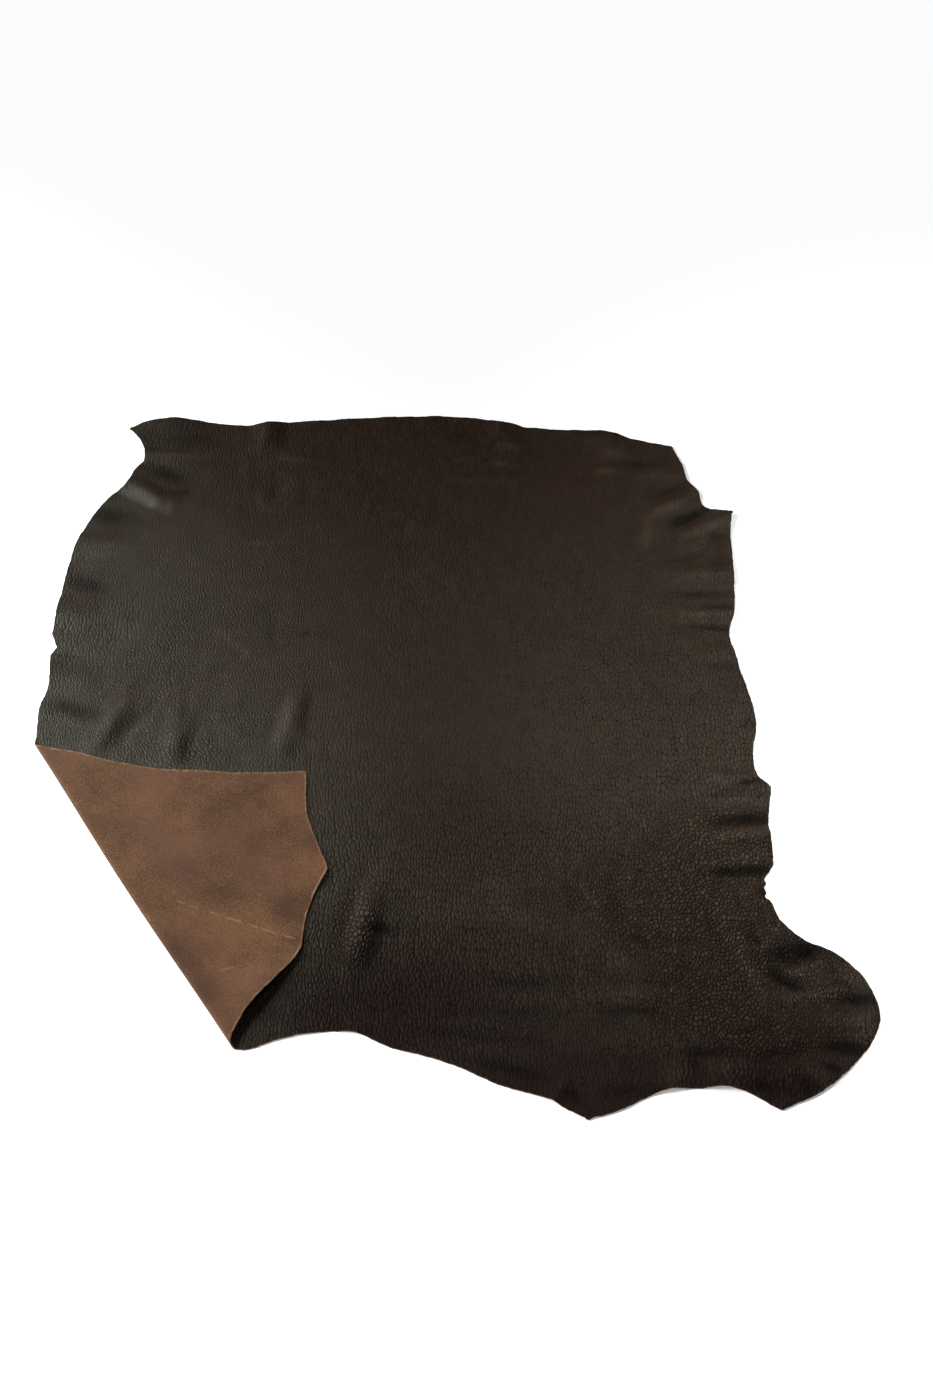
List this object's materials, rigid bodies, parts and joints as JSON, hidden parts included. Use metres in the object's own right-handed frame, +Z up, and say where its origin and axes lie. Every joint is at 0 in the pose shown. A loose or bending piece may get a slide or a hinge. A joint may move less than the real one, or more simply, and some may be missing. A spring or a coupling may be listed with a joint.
{
  "type": "leather hide",
  "caption": "Whole small tanned hide lying flat, grain side up, with a raw cut edge and one corner folded over to show the suede side.",
  "frame": {"origin": "under the middle of the box round the folded hide, on the surface it lies on", "axes": "+X across the skin to its right flank, +Y along the backbone to the neck, +Z up"},
  "size_m": [0.8484, 0.9502, 0.0122],
  "materials": {
    "hide": "pebbled grain, semi-matt, very dark brown; suede flesh side in mid brown"
  },
  "bodies": {
    "root": {"leather_hide": "hide"}
  },
  "joints": []
}
